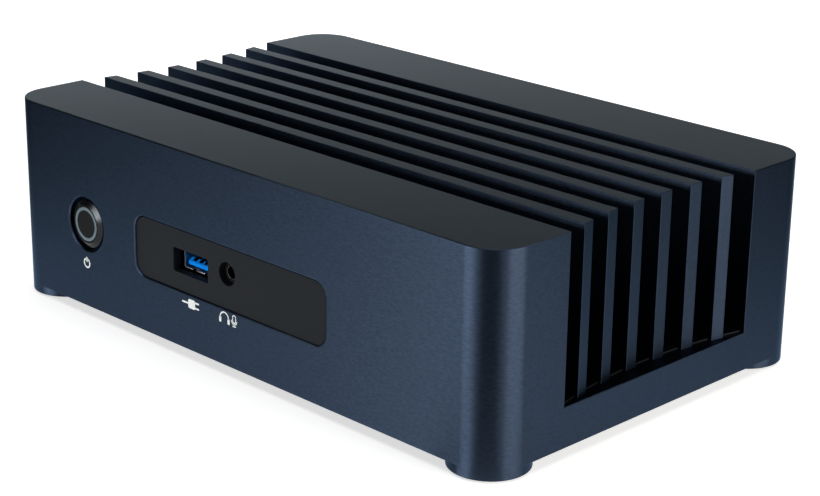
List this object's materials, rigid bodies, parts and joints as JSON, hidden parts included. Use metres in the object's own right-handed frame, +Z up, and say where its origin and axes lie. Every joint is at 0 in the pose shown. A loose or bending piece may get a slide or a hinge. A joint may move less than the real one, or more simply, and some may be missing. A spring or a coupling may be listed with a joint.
{
  "type": "mini computer",
  "caption": "Fanless mini computer: milled dark blue case with through fins scooped in at the sides, front push button and inset port plates.",
  "frame": {"origin": "middle of the footprint, on the surface that the foot pads stand on", "axes": "+X to the right as seen from the front, +Y from the front with the button to the back, +Z up"},
  "size_m": [0.19, 0.122, 0.0582],
  "materials": {
    "anodised_case": "anodised, dark blue, fine brushed",
    "anodised_cover": "anodised, charcoal",
    "plate_plastic": "fine matte",
    "screw_steel": "black oxide",
    "foot_rubber": "matte",
    "switch_metal": "anodised, charcoal blue",
    "ring_plastic": "translucent, pale grey blue",
    "spring_steel": "bright",
    "black_plastic": "moulded",
    "ivory_plastic": "moulded",
    "cable_sheath": "smooth",
    "board_laminate": "solder mask",
    "card_laminate": "solder mask",
    "chip_black": "moulded",
    "thermal_grey": "soft pad",
    "heat_copper": "copper, machined",
    "capacitor_can": "bright",
    "contact_gold": "gold plated",
    "port_shell": "tin plated sheet",
    "port_blue": "moulded, bright blue"
  },
  "bodies": {
    "case": {"case_body": "anodised_case", "bottom_cover": "anodised_cover", "front_port_plate": "plate_plastic", "rear_port_plate": "plate_plastic", "cover_screws": "screw_steel", "board_screws": "screw_steel", "drive_screw": "screw_steel", "wireless_screw": "screw_steel", "foot_pads": "foot_rubber", "switch_seal": "foot_rubber", "switch_body": "switch_metal", "switch_nut": "switch_metal", "return_spring": "spring_steel", "inlet_pin": "spring_steel", "coin_cell": "spring_steel", "switch_contacts": "black_plastic", "memory_sockets": "black_plastic", "drive_socket": "black_plastic", "wireless_socket": "black_plastic", "cell_holder": "black_plastic", "audio_jack": "black_plastic", "inlet_body": "black_plastic", "video_port_tongue": "black_plastic", "network_jack_insert": "black_plastic", "oval_port_tongue": "black_plastic", "switch_plug": "ivory_plastic", "switch_header": "ivory_plastic", "switch_cable": "cable_sheath", "antenna_lead": "cable_sheath", "main_board": "board_laminate", "memory_modules": "board_laminate", "storage_drive": "card_laminate", "wireless_card": "card_laminate", "processor": "chip_black", "power_chokes": "chip_black", "thermal_pad": "thermal_grey", "heat_block": "heat_copper", "filter_capacitors": "capacitor_can", "front_usb_contacts": "contact_gold", "rear_usb_contacts": "contact_gold", "network_jack_contacts": "contact_gold", "antenna": "contact_gold", "front_usb_shell": "port_shell", "rear_usb_shells": "port_shell", "video_port_shell": "port_shell", "network_jack_shell": "port_shell", "oval_port_shell": "port_shell", "front_usb_tongue": "port_blue", "rear_usb_tongues": "port_blue"},
    "button": {"button_cap": "switch_metal", "light_ring": "ring_plastic", "button_plunger": "spring_steel"}
  },
  "joints": [
    {"name": "button_press", "type": "slide", "parent": "case", "child": "button", "axis": [0, 1, 0], "range_m": [0, 0.0012], "stiffness_N_per_m": 1500, "springref_m": -0.0006, "deforming": ["return_spring"]}
  ]
}
